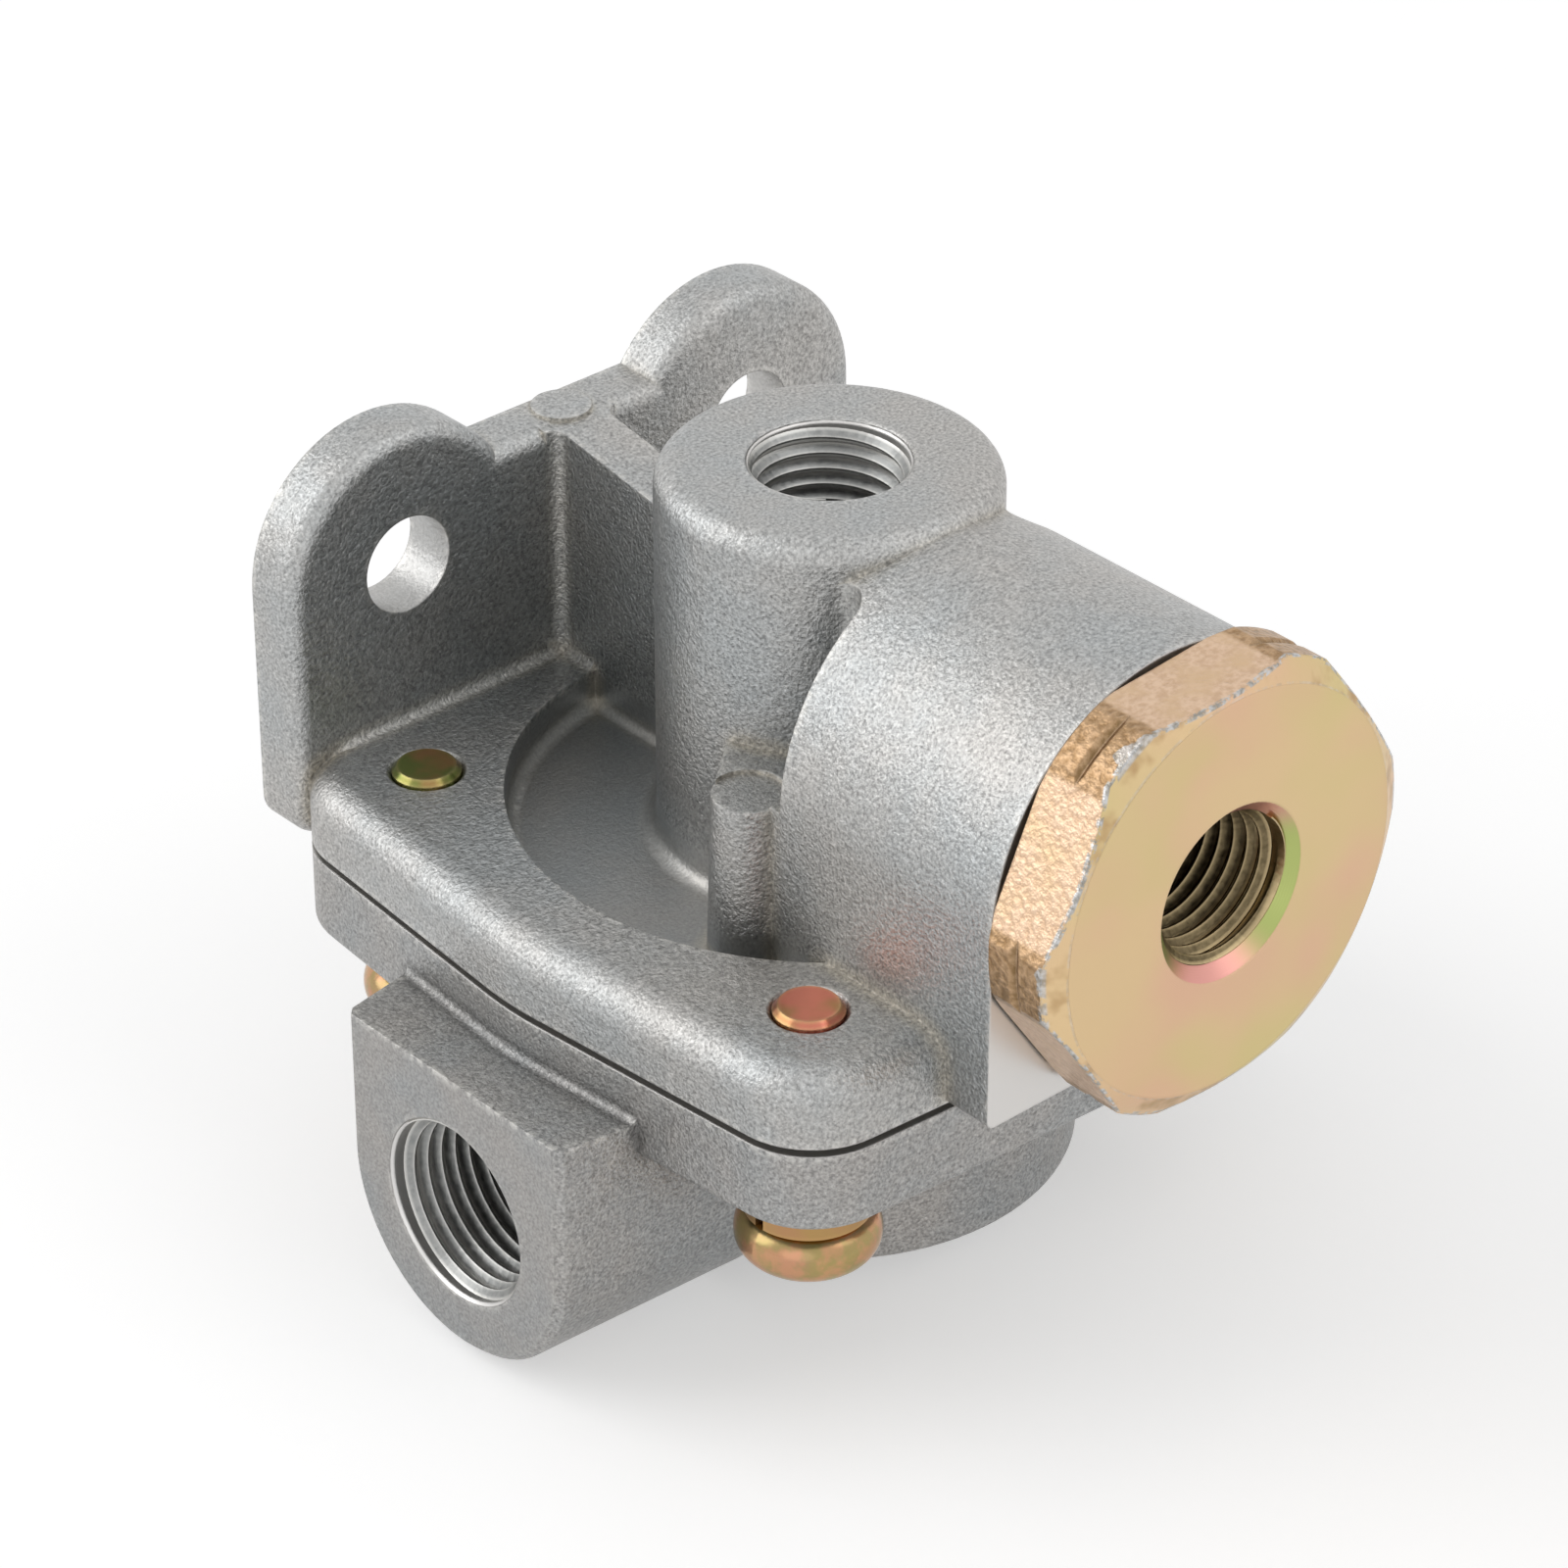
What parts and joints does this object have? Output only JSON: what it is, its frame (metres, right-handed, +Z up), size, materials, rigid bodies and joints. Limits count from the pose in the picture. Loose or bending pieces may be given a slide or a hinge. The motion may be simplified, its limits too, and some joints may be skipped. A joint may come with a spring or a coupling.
{
  "type": "quick exhaust valve",
  "caption": "Die-cast quick exhaust valve with top balance port, front supply port in a hexagon cap nut, side delivery ports and a mounting plate with ears.",
  "frame": {"origin": "centre between the two mounting holes, on the rear face of the mounting plate", "axes": "+Y out of the mounting face, +Z up along the balance port, +X to the right seen from the supply port's side"},
  "size_m": [0.0822, 0.0826, 0.0692],
  "materials": {
    "cast_aluminium": "shot-blasted die casting",
    "plated_steel": "yellow chromate zinc plating",
    "black_rubber": "matt",
    "gasket_sheet": "matt black sheet",
    "white_nylon": "moulded",
    "spring_steel": "bright drawn wire"
  },
  "bodies": {
    "housing": {"valve_body": "cast_aluminium", "cover": "cast_aluminium", "cover_gasket": "gasket_sheet", "supply_cap_nut": "plated_steel", "cap_nut_seal": "black_rubber", "ring_diaphragm": "black_rubber", "release_spring": "spring_steel", "exhaust_flap": "black_rubber", "exhaust_flap_washer": "plated_steel", "exhaust_flap_screw": "plated_steel", "cover_screw_1": "plated_steel", "cover_screw_2": "plated_steel", "cover_screw_3": "plated_steel", "cover_screw_4": "plated_steel", "lock_washer_1": "plated_steel", "lock_washer_2": "plated_steel", "lock_washer_3": "plated_steel", "lock_washer_4": "plated_steel"},
    "check": {"double_check_diaphragm": "black_rubber"},
    "release": {"release_diaphragm": "black_rubber", "spring_seat": "white_nylon"}
  },
  "joints": [
    {"name": "double_check_slide", "type": "slide", "parent": "housing", "child": "check", "axis": [0, 1, 0], "range_m": [0, 0.00125]},
    {"name": "release_lift", "type": "slide", "parent": "housing", "child": "release", "axis": [0, 0, 1], "range_m": [0, 0.0012], "stiffness_N_per_m": 300, "springref_m": -0.004, "deforming": ["release_spring"]}
  ]
}
